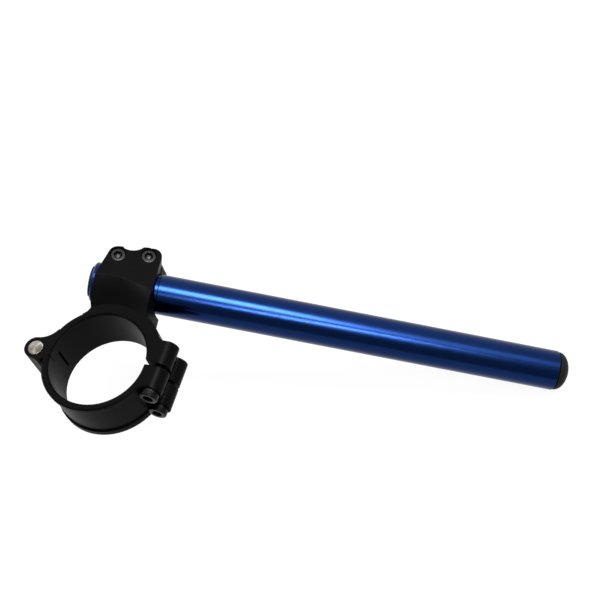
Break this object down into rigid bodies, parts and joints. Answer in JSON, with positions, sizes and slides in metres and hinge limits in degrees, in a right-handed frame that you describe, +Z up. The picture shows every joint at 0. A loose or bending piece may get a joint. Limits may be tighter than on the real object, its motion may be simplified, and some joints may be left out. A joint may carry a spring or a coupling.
{
  "type": "clip-on handlebar",
  "caption": "Clip-on motorcycle handlebar: a hinged two-piece clamp for a fork leg carries a pinch-clamped, drooping tubular bar with plugged ends.",
  "frame": {"origin": "centre of the fork bore, half way up the clamp ring", "axes": "+Z up the fork leg, +X outboard along the bar as seen from above, +Y from the fork leg to the bar"},
  "size_m": [0.2827, 0.0985, 0.1036],
  "materials": {
    "clamp_black": "satin black anodised",
    "bar_blue": "satin blue anodised, finely turned",
    "pin_steel": "turned, bare",
    "screw_dark": "dark oxide with worn bright edges",
    "plug_black": "matt black"
  },
  "bodies": {
    "clamp": {"clamp_body": "clamp_black", "hinge_pin": "pin_steel", "bar_tube": "bar_blue", "bar_end_plug": "plug_black", "inner_plug": "plug_black", "pinch_screw_inner": "screw_dark", "pinch_screw_outer": "screw_dark"},
    "cap": {"hinged_cap": "clamp_black", "clamp_screw_upper": "screw_dark", "clamp_screw_lower": "screw_dark"}
  },
  "joints": [
    {"name": "cap_hinge", "type": "hinge", "parent": "clamp", "child": "cap", "pos_m": [-0.0361, 0.0049, 0], "axis": [0, 0, -1], "range_deg": [0, 90]}
  ]
}
